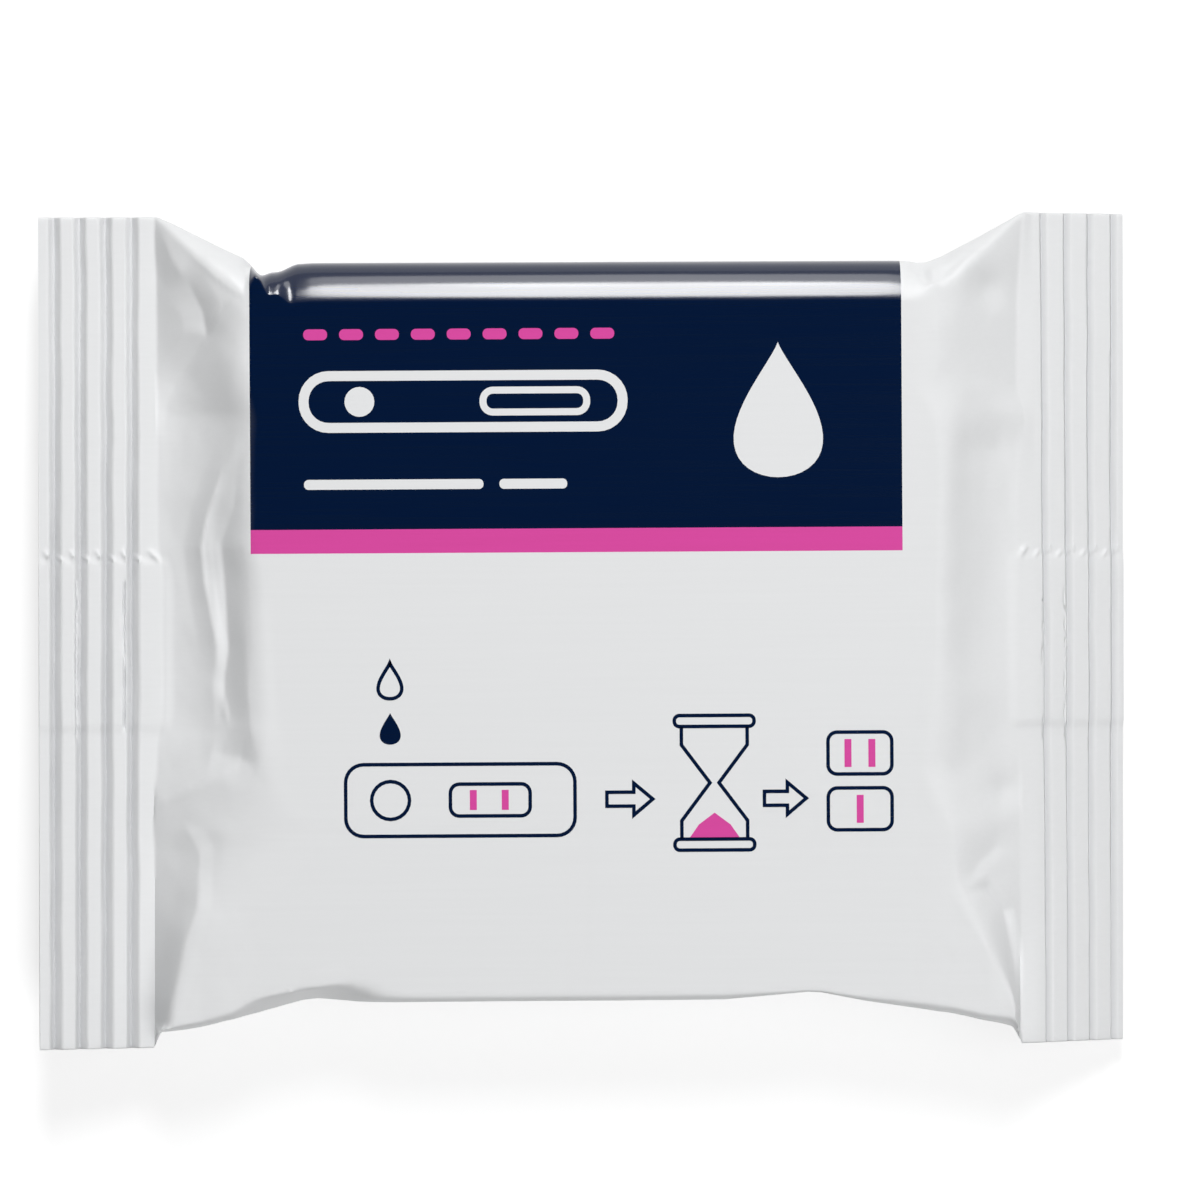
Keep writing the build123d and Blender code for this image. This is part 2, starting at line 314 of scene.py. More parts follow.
def crease(x, y, points, left_reach, right_reach):
    """How far one crease line lifts the film: a sharp fold whose sides run out at the two reaches."""
    nearest = np.full(np.shape(x), np.inf)
    side = np.zeros(np.shape(x))
    height = np.zeros(np.shape(x))
    for (x0, y0, h0), (x1, y1, h1) in zip(points, points[1:]):
        length = math.hypot(x1 - x0, y1 - y0)
        ux, uy = (x1 - x0) / length, (y1 - y0) / length
        along = np.clip((x - x0) * ux + (y - y0) * uy, 0, length)
        dx, dy = x - x0 - along * ux, y - y0 - along * uy
        away = np.hypot(dx, dy)
        closer = away < nearest
        nearest = np.where(closer, away, nearest)
        side = np.where(closer, ux * dy - uy * dx, side)
        height = np.where(closer, h0 + (h1 - h0) * along / length, height)
    reach = np.where(side > 0, left_reach, right_reach)
    return height * np.clip(1 - nearest / reach, 0, 1) ** CREASE_POWER


def creased(x, y, inward):
    """Lift of the front film by its creases, dents and small ripples."""
    lift = np.zeros(np.shape(x))
    for end in ENDS:
        lift += np.max([crease(x, y, *ridge) for ridge in end.ridges], axis=0)
        lift += np.min([crease(x, y, *valley) for valley in end.valleys], axis=0)
        for dent_x, dent_y, radius, depth in end.dents:
            lift -= depth * np.exp(-((x - dent_x) ** 2 + (y - dent_y) ** 2) / (radius * DENT_SPREAD) ** 2)
    gathered = ease(inward / CRINKLE_RISE) * ease((CRINKLE_END - inward) / CRINKLE_FADE)
    crinkle = sum(height * ripple(x / along, y / across, seed) for height, along, across, seed in CRINKLES)
    return lift + gathered * crinkle


def bulge(across):
    """How far the folded fin swells each face of an end seal."""
    root = ease((FIN_ROOT + ROOT_SLOPE / 2 - across) / ROOT_SLOPE)
    return FIN_BULGE * root * ease((across - FIN_EDGE + EDGE_SLOPE / 2) / EDGE_SLOPE)


def rib_valleys(end):
    """Where the crimp's valleys are deepest, from the cut end."""
    return end.first_valley + RIB_PITCH * np.arange(RIB_VALLEYS)


def in_valley(from_cut, end, valley):
    """0 on the ribs and 1 at the bottom of a valley, which falls softly and rises to a crisp rib."""
    along = -end.side * (from_cut - valley)
    fall = ease(1 + along / end.valley_fall) ** VALLEY_POWER
    return np.minimum(fall, np.clip(1 - along / end.valley_rise, 0, 1))


def valley_shade_share(from_cut, across, end):
    """Share of painted shade along the crimp: 0 on the ribs and most along the valley bottoms."""
    valleys = [in_valley(from_cut, end, valley) for valley in rib_valleys(end)]
    return line(end.press, across) * np.max(valleys, axis=0)


def crimp(from_cut, across, end):
    """Depth of the crimp, whose valleys are a little unevenly pressed."""
    depth = np.zeros(np.shape(from_cut))
    for i, valley in enumerate(rib_valleys(end)):
        row = np.full(np.shape(across), UNEVEN_ROW * i)
        press = 1 + UNEVEN_PRESS * ripple(across / UNEVEN_LENGTH, row, UNEVEN_SEED + end.side)
        depth = np.maximum(depth, end.rib_depth * press * in_valley(from_cut, end, valley))
    return depth - seam_crinkle(from_cut, across) + pressed_lines(from_cut, across, end)


def seam_crinkle(from_cut, across):
    """Small slanting folds where the crimp crosses the root of the fin."""
    folds = []
    for start, count, top, height, reach in SEAM_FOLDS:
        for x in start + RIB_PITCH * np.arange(count):
            peak = (x + SEAM_SLANT / 2, FIN_ROOT + top / SEAM_PEAK, height)
            fold = ((x, FIN_ROOT + top, 0), peak, (x + SEAM_SLANT, FIN_ROOT - SEAM_FOOT, 0))
            folds.append(crease(from_cut, across, fold, reach, reach))
    return np.max(folds, axis=0)


def pressed_lines(from_cut, across, end):
    """Wavering lines that the jaws pressed into the thick part of a seal."""
    depth = np.zeros(np.shape(from_cut))
    for i, (place, low, high) in enumerate(end.pressed):
        row = np.full(np.shape(across), PRESSED_ROW * i)
        middle = place + PRESSED_WAVER * ripple(across / PRESSED_LENGTH, row, PRESSED_SEED)
        shown = ease((high - across) / PRESSED_FADE) * ease((across - low) / PRESSED_FADE)
        depth += PRESSED_DEPTH * shown * np.clip(1 - np.abs(from_cut - middle) / PRESSED_HALF, 0, 1)
    return depth


def quarter(a, b):
    """Length of a quarter of an ellipse."""
    return math.pi / 4 * (3 * (a + b) - np.sqrt((3 * a + b) * (a + 3 * b)))


def wrapped(across, edge, turn, flat, middle, height, bevel=0.0, crisp=0.0):
    """(y, z, lean) of film at a place across it, as it goes from the flat over a long edge.

    Up to FLAT_HALF the film lies straight across. The rest is shared out along the flat and round the edge
    to its widest line, so that lines along the film run on without a break from a seal to the body. The edge
    is a quarter of an ellipse. With a bevel of 1 it starts as a slope and ends in a tight turn, and with a
    crisp of 1 it is flat.
    """
    start = edge - turn
    turn_length = quarter(turn, np.abs(height))
    spare = start - FLAT_HALF + turn_length
    travel = np.maximum(np.abs(across) - FLAT_HALF, 0) / (HALF_FILM - FLAT_HALF) * spare
    lean = np.clip((travel - (start - FLAT_HALF)) / turn_length, 0, 1) * math.pi / 2
    y = np.minimum(np.abs(across), FLAT_HALF) + np.minimum(travel, start - FLAT_HALF)
    share = lean / (math.pi / 2)
    y += turn * (crisp * share + (1 - crisp) * np.sin(lean) ** (1 + BEVEL_OUT * bevel))
    fall = crisp * (1 - share) + (1 - crisp) * np.cos(lean) ** (1 - BEVEL_DOWN * bevel)
    z = np.where(lean > 0, middle + height * fall, flat)
    return np.sign(across) * y, z, lean


def long_edge(end, inward, across):
    """(distance from the middle line, height) of the widest line on the nearer long edge."""
    upper = across > 0
    upper_edge = line(end.upper_edge, inward, UPPER_EDGE_SOFT)
    edge = np.where(upper, upper_edge, line(end.lower_edge, inward, LOWER_EDGE_SOFT))
    seal_level = line(end.level, HALF_FILM)
    filled = smooth_min(inward / BACK_NECK, 1.0, SHOULDER)
    upper_middle = seal_level + (BODY_MIDDLE - seal_level) * filled
    return edge, np.where(upper, upper_middle, line(end.lower_middle, inward, LOWER_TURN_SOFT))


def swell(inward, neck, bend):
    """0 where the film is pressed flat and 1 where it is full; a bend below 0 starts gently at the fold."""
    share = np.minimum(inward / neck, FULL_SHARE)
    return smooth_min(share + bend * share * (1 - share), 1.0, SHOULDER)


def film_front(end, x, inward, across):
    """(y, z) of the front film of the necks and the body."""
    pressed = line(end.level, across) + HALF_SHEET + bulge(across) * ease(1 - inward / FIN_FADE)
    fullness = swell(inward, line(end.neck, across, NECK_SOFT), line(end.bend, across))
    flat = pressed + (TOP - pressed) * fullness
    rim = np.sign(across) * HALF_FILM
    rim_pressed = line(end.level, rim) + HALF_SHEET
    rim_swell = swell(inward, line(end.neck, rim), line(end.bend, rim))
    rim_top = rim_pressed + (TOP - rim_pressed) * rim_swell
    edge, middle = long_edge(end, inward, across)
    upper_turn = HALF_SHEET + (UPPER_TURN - HALF_SHEET) * rim_swell
    upper_turn *= 1 - line(end.upper_tuck, inward, TUCK_SOFT)
    turn = np.where(across > 0, upper_turn, line(end.lower_turn, inward, LOWER_TURN_SOFT))
    bevel = np.where(across > 0, ease((inward - BEVEL_START) / BEVEL_FADE), 0.0)
    crisp = np.where(across > 0, 0.0, line(end.lower_crisp, inward))
    y, z, lean = wrapped(across, edge, turn, flat, middle, rim_top - middle, bevel, crisp)
    lift = creased(x, y, inward)
    return y + np.sign(across) * lift * np.sin(lean), z + lift * np.cos(lean)


def film_back(end, inward, across):
    """(y, z) of the back film of the necks and the body, with the fin lying flat on it."""
    filled = smooth_min(inward / BACK_NECK, 1.0, SHOULDER)
    pressed = line(end.level, across) - HALF_SHEET - bulge(across) * ease(1 - inward / FIN_FADE)
    flat = pressed + (BACK - pressed) * filled
    rim_pressed = line(end.level, np.sign(across) * HALF_FILM) - HALF_SHEET
    rim_low = rim_pressed + (BACK - rim_pressed) * filled
    edge, middle = long_edge(end, inward, across)
    turn = HALF_SHEET + (BACK_TURN - HALF_SHEET) * filled
    y, z, lean = wrapped(across, edge, turn, flat, middle, rim_low - middle)
    fin = ((across > FIN_EDGE) & (across < FIN_ROOT)) * FIN_THICKNESS * ease(inward / FIN_RISE)
    pleats = PLEAT_HEIGHT * np.cos(across / PLEAT_WAVE) * ease(inward / PLEAT_RISE)
    pleats *= ease((BACK_NECK - inward) / PLEAT_FADE) * np.cos(lean)
    pleats *= ease((np.abs(across) - PLEAT_FREE) / PLEAT_FADE)
    return y, z - fin + pleats


def film_seal(end, from_cut, across, face):
    """Points of one face of a crimped end seal, which droops from its fold line out to its cut end."""
    rim = np.full(np.shape(across), HALF_SHEET)
    edge = np.full(np.shape(across), HALF_FILM)
    y, height, _ = wrapped(across, edge, rim, HALF_SHEET + bulge(across), 0.0, rim)
    height = face * height - crimp(from_cut, across, end)
    droop = np.radians(line(end.droop, across))
    cut = line(end.cut, across)
    wander = RIB_WANDER * ripple(across / WANDER_LENGTH, from_cut / RIB_PITCH, WANDER_SEED + end.side)
    wander *= ease(from_cut / WANDER_RISE)
    stretch = cut - SEAL_LENGTH * np.cos(droop) - fold_line(end, across)
    stretch *= ease((from_cut - FREE_RIBS) / (SEAL_LENGTH - FREE_RIBS))
    x = cut - (from_cut + wander) * np.cos(droop) - stretch + height * np.sin(droop)
    z = line(end.level, across) - (SEAL_LENGTH - from_cut) * np.sin(droop) + height * np.cos(droop)
    return end.side * x, y, z


def film_columns():
    """Lines of the film from the left cut end to the right one: (kind, end, place along that stretch)."""
    neck = spaced((0.0, 1.0), NECK_STEP)
    tuck = spaced((PANEL_LEFT, TUCK_END), TUCK_STEP)
    body = np.concatenate([tuck[:-1], spaced((TUCK_END, 0.0, PANEL_RIGHT), BODY_STEP)])
    seals = []
    for end in ENDS:
        sides = -end.side * np.array([-end.valley_fall, 0.0, end.valley_rise])
        stops = [0.0, SEAL_LENGTH, *np.add.outer(rib_valleys(end), sides).ravel()]
        stops += [place + step for place, _, _ in end.pressed for step in (-PRESSED_HALF, 0.0, PRESSED_HALF)]
        stops.sort()
        seals.append(spaced(stops, SEAL_STEP))
    columns = [("seal", LEFT, place) for place in seals[0][:-1]]
    columns += [("neck", LEFT, place) for place in neck[:-1]]
    columns += [("body", LEFT if place < 0 else RIGHT, place) for place in body]
    columns += [("neck", RIGHT, place) for place in neck[-2::-1]]
    columns += [("seal", RIGHT, place) for place in seals[1][-2::-1]]
    return columns


def film_points(columns, across, face):
    """Points of the front (face 1) or back (face -1) film, one row of them for each column."""
    points = []
    for kind, end, place in columns:
        if kind == "seal":
            x, y, z = film_seal(end, np.full(len(across), place), across, face)
        else:
            fold = fold_line(end, across)
            inner = abs(PANEL_LEFT) if end is LEFT else PANEL_RIGHT
            reach = fold + (inner - fold) * place if kind == "neck" else np.full(len(across), abs(place))
            x = end.side * reach
            if face > 0:
                y, z = film_front(end, x, fold - reach, across)
            else:
                y, z = film_back(end, fold - reach, across)
        points.append(np.stack([x, y, z], axis=1))
    return np.array(points)


def cap(front, back, front_places, back_places, flip):
    """Triangles that close a cut end between the front film's edge and the back film's edge."""
    faces = []
    i = j = 0
    while i < len(front) - 1 or j < len(back) - 1:
        ahead = j == len(back) - 1 or (i < len(front) - 1 and front_places[i + 1] >= back_places[j + 1])
        corner = (front[i], front[i + 1], back[j]) if ahead else (front[i], back[j + 1], back[j])
        i, j = (i + 1, j) if ahead else (i, j + 1)
        if len(set(corner)) == 3:
            faces.append(corner[::-1] if flip else corner)
    return faces


def add_piece(name, points, faces, materials):
    """A piece of the pouch, from points in millimetres."""
    mesh = bpy.data.meshes.new(name)
    mesh.from_pydata((np.array(points) * MM).tolist(), [], faces)
    for material in materials:
        mesh.materials.append(material)
    piece = bpy.data.objects.new(name, mesh)
    bpy.context.scene.collection.objects.link(piece)
    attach(piece, "root")
    return piece


def film_rows():
    """Places across the film: the front's from its +Y edge to its -Y edge, then the back's on round."""
    seam_high, seam_low = SEAM_BAND
    front_rows = np.concatenate([
        spaced((HALF_FILM, HALF_FILM - RIM), RIM_STEP)[:-1],
        spaced((HALF_FILM - RIM, STRIPE_TOP, seam_high), FRONT_STEP)[:-1],
        spaced((seam_high, STRIPE_LOW, seam_low), SEAM_STEP)[:-1],
        spaced((seam_low, RIM - HALF_FILM), FRONT_STEP)[:-1],
        spaced((RIM - HALF_FILM, -HALF_FILM), RIM_STEP),
    ])
    fin_sides = [side + step for side in (FIN_EDGE, FIN_ROOT) for step in (-FIN_LIP, FIN_LIP)]
    back_rows = spaced((-HALF_FILM, *fin_sides, PANEL_WRAP, HALF_FILM), BACK_STEP)[1:-1]
    return front_rows, back_rows


def film_inks(columns, front_rows, back_rows):
    """The ink on each face of the film, numbered in the order of its materials."""
    white, navy, pink = range(3)
    rows = np.concatenate([front_rows, back_rows])
    middles = (rows + np.roll(rows, -1)) / 2
    on_front = np.arange(len(rows)) < len(front_rows) - 1
    in_panel = np.array([kind == "body" for kind, _, _ in columns])
    in_panel = (in_panel[:-1] & in_panel[1:])[:, None]
    panel = np.where(on_front, middles > STRIPE_TOP, middles > PANEL_WRAP)
    stripe = on_front & (middles < STRIPE_TOP) & (middles > STRIPE_LOW)
    return np.where(in_panel & panel, navy, np.where(in_panel & stripe, pink, white)).reshape(-1)


def make_film(materials):
    """The whole film as one closed skin, with the panel and the stripe as fields of ink on it."""
    front_rows, back_rows = film_rows()
    columns = film_columns()
    points = np.concatenate(
        [film_points(columns, front_rows, 1), film_points(columns, back_rows, -1)], axis=1
    )
    around = points.shape[1]
    ring = np.arange(around)
    first = np.arange(len(columns) - 1)[:, None] * around
    following = np.roll(ring, -1)
    corners = [first + ring, first + following, first + around + following, first + around + ring]
    faces = np.stack(corners, axis=2).reshape(-1, 4).tolist()
    inks = film_inks(columns, front_rows, back_rows)
    count = len(front_rows)
    back_ring = np.concatenate([[0], ring[:count - 1:-1], [count - 1]])
    back_places = np.concatenate([[HALF_FILM], back_rows[::-1], [-HALF_FILM]])
    for column, flip in ((0, True), (len(columns) - 1, False)):
        start = column * around
        faces += cap(start + ring[:count], start + back_ring, front_rows, back_places, flip)
    film = add_piece("pouch_film", points.reshape(-1, 3), faces, materials)
    inks = np.concatenate([inks, np.zeros(len(faces) - len(inks), int)])
    film.data.polygons.foreach_set("material_index", inks.astype(np.int32))
    film.data.shade_smooth()
    film.data.set_sharp_from_angle(angle=math.radians(SHARP_ANGLE))
    rows = np.concatenate([front_rows, back_rows])
    # Painted shade: how far the crimp's valley bottoms are tinted darker, kept on the film's points for its
    # material
    pressed = [
        (kind == "seal") * valley_shade_share(np.full(around, place), rows, end) for kind, end, place in columns
    ]
    attribute = film.data.attributes.new("pressed", "FLOAT", "POINT")
    attribute.data.foreach_set("value", np.concatenate(pressed).astype(np.float32))
    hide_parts("sealed_pouch")


# Printed marks, as flat outlines of (x, y) points on the front film
LINE_WIDTH = 0.36
MITRE_LIMIT = 0.4  # a sharp corner of a line reaches out no further than the half-width over this

# Below the panel: drops over a test device, arrows, a sandglass and two result windows
DEVICE = ((-24.0, -20.6), (-1.0, -13.4))
DEVICE_CORNER = 1.8
WELL = (-19.5, -17.0)
WELL_RADIUS = 1.9
WINDOW = ((-13.5, -18.6), (-5.5, -15.4))
WINDOW_CORNER = 0.9
OPEN_DROP = (-3.2, 3.6)  # (tip, height)
FULL_DROP = (-8.2, 3.2)
ARROWS = ((2.2, 4.6), (18.0, 4.2))  # (tail, length)
SANDGLASS = (13.0, -21.6, -9.2)  # (middle, lower plate, upper plate)
RESULTS = ((24.4, -14.6), (24.4, -20.2))
RESULT_SIZE = (6.4, 4.2)
TEST_LINES = (  # (middle, foot, top), first in the device's window and then in the results
    (-11.2, -18.0, -16.0),
    (-8.0, -18.0, -16.0),
    (26.4, -13.9, -11.1),
    (28.8, -13.9, -11.1),
    (27.6, -19.5, -16.7),
)
TEST_LINE_HALF = 0.35

# In the panel: a row of dashes, a test strip with two bars under it, and a large drop
MARKS_LEFT = -28.0
DASHES = 9
DASH_PITCH = 3.6
DASH_LENGTH = 2.4
DASH_LOW, DASH_HIGH = 29.2, 30.3
DASH_CORNER = 0.5
STRIP = ((MARKS_LEFT, 20.4), (4.0, 25.6))
STRIP_CORNER = 2.5
STRIP_LINE = 1.0
STRIP_WELL = (-22.4, 23.0)
STRIP_WELL_RADIUS = 1.5
STRIP_WINDOW = ((-10.0, 21.9), (0.4, 24.1))
STRIP_WINDOW_CORNER = 1.0
STRIP_WINDOW_LINE = 0.7
BARS = ((MARKS_LEFT, -10.0), (-8.4, -1.6))  # (left, right)
BAR_LOW, BAR_HIGH = 14.2, 15.2
BAR_CORNER = 0.45
LARGE_DROP_TIP = (19.6, 28.8)
LARGE_DROP_HEIGHT = 13.6


def arc(centre, radius, start, end, count):
    """Points round an arc, by angles in degrees."""
    angles = np.radians(np.linspace(start, end, count))
    return [(centre[0] + radius * math.cos(a), centre[1] + radius * math.sin(a)) for a in angles]


def circle(centre, radius):
    """Points round a full circle."""
    return arc(centre, radius, 0, 360, 25)[:-1]


def rounded_bar(low, high, radius):
    """Outline of a bar with rounded corners, from its lowest corner to its highest."""
    (x0, y0), (x1, y1) = low, high
    corners = ((x1 - radius, y0 + radius, -90), (x1 - radius, y1 - radius, 0), (x0 + radius, y1 - radius, 90),
               (x0 + radius, y0 + radius, 180))
    return [point for x, y, start in corners for point in arc((x, y), radius, start, start + 90, 8)]


def drop(tip, height):
    """Outline of a falling drop, hanging down from its tip."""
    fullness, taper = 0.47, 1.5  # share of the height, and how the sides draw in to the tip
    turns = np.linspace(0, 2 * math.pi, 48, endpoint=False)
    aside = -fullness * height * np.sin(turns) * np.sin(turns / 2) ** taper
    down = height * (1 - np.cos(turns)) / 2
    return [(tip[0] + x, tip[1] - y) for x, y in zip(aside, down)]


def arrow(tail, length):
    """Outline of a plain arrow that points to +X."""
    x, y = tail
    stem, head, half = 0.7, 1.9, 1.6
    neck = x + length - head
    lower = [(x, y - stem), (neck, y - stem), (neck, y - half)]
    upper = [(neck, y + half), (neck, y + stem), (x, y + stem)]
    return [*lower, (x + length, y), *upper]


def outline_strip(points, width, closed):
    """The two edges of a printed line that follows these points."""
    path = np.array(points, float)
    if closed:
        before, after = np.roll(path, 1, axis=0), np.roll(path, -1, axis=0)
    else:
        before = np.concatenate([[2 * path[0] - path[1]], path[:-1]])
        after = np.concatenate([path[1:], [2 * path[-1] - path[-2]]])
    into = (path - before) / np.linalg.norm(path - before, axis=1, keepdims=True)
    out = (after - path) / np.linalg.norm(after - path, axis=1, keepdims=True)
    normal = np.stack([-(into + out)[:, 1], (into + out)[:, 0]], axis=1)
    normal /= np.linalg.norm(normal, axis=1, keepdims=True)
    square = (normal * np.stack([-into[:, 1], into[:, 0]], axis=1)).sum(1, keepdims=True)
    reach = normal / np.maximum(square, MITRE_LIMIT) * width / 2
    return path + reach, path - reach


def front_level(x, y):
    """Height of the front film over the body."""
    x, y = np.array(x, float), np.array(y, float)
    level = np.empty(len(x))
    for end, here in ((LEFT, x < 0), (RIGHT, x >= 0)):
        if here.any():
            inward = fold_line(end, y[here]) - np.abs(x[here])
            level[here] = film_front(end, x[here], inward, y[here])[1]
    return level


def make_print(name, material, fills, lines):
    """Shapes of one ink: filled outlines, and (points, width, closed) lines."""
    points, faces = [], []

    def slab(outer, inner=None, closed=True):
        """A thin layer of ink over an outline, or between the two edges of a line."""
        rims = [outer] if inner is None else [outer, inner]
        start, count = len(points), len(outer)
        for offset in (INK, -INK):
            for rim in rims:
                z = front_level(*np.array(rim).T) + offset
                points.extend((x, y, level) for (x, y), level in zip(rim, z))
        under = len(rims) * count
        if inner is None:
            top = list(range(start, start + count))
            faces.append(top)
            faces.append([i + under for i in reversed(top)])
            for i in range(count):
                a, b = start + i, start + (i + 1) % count
                faces.append([a, a + under, b + under, b])
            return
        for i in range(count if closed else count - 1):
            a, b = start + i, start + (i + 1) % count
            c, d = b + count, a + count
            faces.extend([[a, b, c, d], [d + under, c + under, b + under, a + under],
                          [b, a, a + under, b + under], [d, c, c + under, d + under]])
        if not closed:
            for a, flip in ((start, False), (start + count - 1, True)):
                c = a + count
                end_face = [a, c, c + under, a + under]
                faces.append(end_face[::-1] if flip else end_face)

    for outline in fills:
        slab(outline)
    for path, width, closed in lines:
        outer, inner = outline_strip(path, width, closed)
        slab(outer.tolist(), inner.tolist(), closed)
    mesh = add_piece(name, points, faces, [material]).data
    mesh.validate()
    mesh.update()


def sandglass_lines():
    """The two plates of a sandglass and the two sides of its glass."""
    x, low, high = SANDGLASS
    plate_half, plate_rise, plate_corner = 4.0, 0.55, 0.5
    glass_half, waist_half = 3.3, 0.45
    glass_gap, glass_straight = 0.6, 2.4
    lines = []
    for level in (low, high):
        lowest, highest = (x - plate_half, level - plate_rise), (x + plate_half, level + plate_rise)
        lines.append((rounded_bar(lowest, highest, plate_corner), LINE_WIDTH, True))
    for side in (-1, 1):
        wide, waist = x + side * glass_half, x + side * waist_half
        glass = [(wide, high - glass_gap), (wide, high - glass_straight), (waist, (low + high) / 2),
                 (wide, low + glass_straight), (wide, low + glass_gap)]
        lines.append((glass, LINE_WIDTH, False))
    return lines


def make_pictogram_lines(navy):
    """Plain symbols in the order of use: drops on a test device, a sandglass for the wait, the result."""
    well_x, level = WELL
    open_tip, open_height = OPEN_DROP
    full_tip, full_height = FULL_DROP
    outlines = [
        rounded_bar(*DEVICE, DEVICE_CORNER),
        circle(WELL, WELL_RADIUS),
        rounded_bar(*WINDOW, WINDOW_CORNER),
        drop((well_x, open_tip), open_height),
    ]
    outlines += [arrow((tail, level), length) for tail, length in ARROWS]
    lines = [(outline, LINE_WIDTH, True) for outline in outlines]
    lines += sandglass_lines()
    for x, y in RESULTS:
        window = rounded_bar((x, y), (x + RESULT_SIZE[0], y + RESULT_SIZE[1]), WINDOW_CORNER)
        lines.append((window, LINE_WIDTH, True))
    make_print("pictogram_lines", navy, [drop((well_x, full_tip), full_height)], lines)


def make_pink_marks(pink):
    """The sand in the sandglass, the test lines in the windows, and a row of dashes in the panel."""
    x, low, _ = SANDGLASS
    foot_half, shoulder_half = 2.5, 1.6
    foot, shoulder, peak = low + 0.7, low + 2.0, low + 3.2
    sand = [(x - foot_half, foot), (x + foot_half, foot), (x + shoulder_half, shoulder), (x, peak),
            (x - shoulder_half, shoulder)]
    fills = [sand]
    for middle, foot, top in TEST_LINES:
        left, right = middle - TEST_LINE_HALF, middle + TEST_LINE_HALF
        fills.append([(left, foot), (right, foot), (right, top), (left, top)])
    for i in range(DASHES):
        left = MARKS_LEFT + DASH_PITCH * i
        fills.append(rounded_bar((left, DASH_LOW), (left + DASH_LENGTH, DASH_HIGH), DASH_CORNER))
    make_print("pink_marks", pink, fills, [])


def make_white_marks(white):
    """A plain test strip, a large drop and two bars in the panel."""
    lines = [
        (rounded_bar(*STRIP, STRIP_CORNER), STRIP_LINE, True),
        (rounded_bar(*STRIP_WINDOW, STRIP_WINDOW_CORNER), STRIP_WINDOW_LINE, True),
    ]
    fills = [circle(STRIP_WELL, STRIP_WELL_RADIUS), drop(LARGE_DROP_TIP, LARGE_DROP_HEIGHT)]
    fills += [rounded_bar((left, BAR_LOW), (right, BAR_HIGH), BAR_CORNER) for left, right in BARS]
    make_print("white_marks", white, fills, lines)


# Materials
def colour(hex_value):
    """Linear colour from an sRGB hex value."""
    parts = [int(hex_value[i : i + 2], 16) / 255 for i in (1, 3, 5)]
    return (*[c / 12.92 if c <= 0.04045 else ((c + 0.055) / 1.055) ** 2.4 for c in parts], 1.0)


def add_node(tree, kind, inputs=None, **settings):
    """Adds a node with its settings. An input is a value to set, or another node's socket to link."""
    made = tree.nodes.new(kind)
    for name, value in settings.items():
        setattr(made, name, value)
    for name, value in (inputs or {}).items():
        if isinstance(value, bpy.types.NodeSocket):
            tree.links.new(value, made.inputs[name])
        else:
            made.inputs[name].default_value = value
    return made


def new_material(name):
    """An empty material and its node tree."""
    material = bpy.data.materials.new(name)
    material.use_nodes = True
    tree = material.node_tree
    tree.nodes.clear()
    return material, tree


DRAW_LINE_LENGTH = 14.0  # of the film's faint lines along the machine, in millimetres
DRAW_LINE_WIDTH = 0.35
DRAW_LINE_DEPTH = 0.02
GLOSS_SPREAD = 0.05  # how far those lines vary the roughness
FILM_IOR = 1.6  # polyester


def drawn_film(name, base, faded, pressed, roughness, shine, bump):
    """Film drawn along X through the packing machine, with its fine lines, and painted shade mixed in along
    the crimp's valley bottoms.
    """
    material, tree = new_material(name)
    place = add_node(tree, "ShaderNodeTexCoord").outputs["Object"]
    stretch = (1 / (DRAW_LINE_LENGTH * MM), 1 / (DRAW_LINE_WIDTH * MM), 1 / (DRAW_LINE_WIDTH * MM))
    along = add_node(tree, "ShaderNodeMapping", {"Vector": place, "Scale": stretch}).outputs["Vector"]
    lines = add_node(
        tree, "ShaderNodeTexNoise", {"Vector": along, "Scale": 1.0, "Detail": 2.0}
    ).outputs["Fac"]
    tint = add_node(
        tree, "ShaderNodeMix", {0: lines, 6: colour(base), 7: colour(faded)}, data_type="RGBA"
    ).outputs[2]
    # Painted shade: the colour is mixed towards the third colour where the pressed attribute is high, in the
    # crimp's valleys
    share = add_node(tree, "ShaderNodeAttribute", attribute_name="pressed").outputs["Fac"]
    tint = add_node(
        tree, "ShaderNodeMix", {0: share, 6: tint, 7: colour(pressed)}, data_type="RGBA"
    ).outputs[2]
    gloss = add_node(
        tree, "ShaderNodeMapRange",
        {"Value": lines, "To Min": roughness - GLOSS_SPREAD, "To Max": roughness + GLOSS_SPREAD},
    ).outputs["Result"]
    relief = add_node(
        tree, "ShaderNodeBump", {"Height": lines, "Strength": bump, "Distance": DRAW_LINE_DEPTH * MM}
    ).outputs["Normal"]
    shader = add_node(
        tree, "ShaderNodeBsdfPrincipled",
        {"Base Color": tint, "Roughness": gloss, "Normal": relief, "IOR": FILM_IOR,
         "Specular IOR Level": shine},
    ).outputs["BSDF"]
    add_node(tree, "ShaderNodeOutputMaterial", {"Surface": shader})
    return material


# White polyester and foil laminate, extruded and drawn: a cold white with a satin gloss that gathers on
# folds, and faint lines along the web.
# Its third colour, #C5C6C8, is painted shade for the bottoms of the crimp's valleys.
white_film = drawn_film("white_foil_laminate", "#E9EAEB", "#E6E7E8", "#C5C6C8", 0.40, 0.2, 0.15)
# Gravure ink printed under the outer polyester film: deep and even, with that film's clear gloss over it.
navy_ink = drawn_film("dark_blue_gravure_ink", "#02173A", "#021634", "#021634", 0.15, 0.42, 0.1)
# The same kind of ink in pink: bright and even, with a slightly softer gloss.
pink_ink = drawn_film("pink_gravure_ink", "#E04FA7", "#DA4BA0", "#DA4BA0", 0.22, 0.4, 0.2)


# Light, table and camera
def area_light(name, place, size, power):
    """A soft white lamp, facing the pouch from a place in millimetres."""
    data = bpy.data.lights.new(name, "AREA")
    data.shape = "ELLIPSE"
    data.size, data.size_y = size[0] * MM, size[1] * MM
    data.energy = power
    lamp = bpy.data.objects.new(name, data)
    bpy.context.scene.collection.objects.link(lamp)
    lamp.location = Vector(place) * MM
    lamp.rotation_euler = (-lamp.location).to_track_quat("-Z", "Y").to_euler()


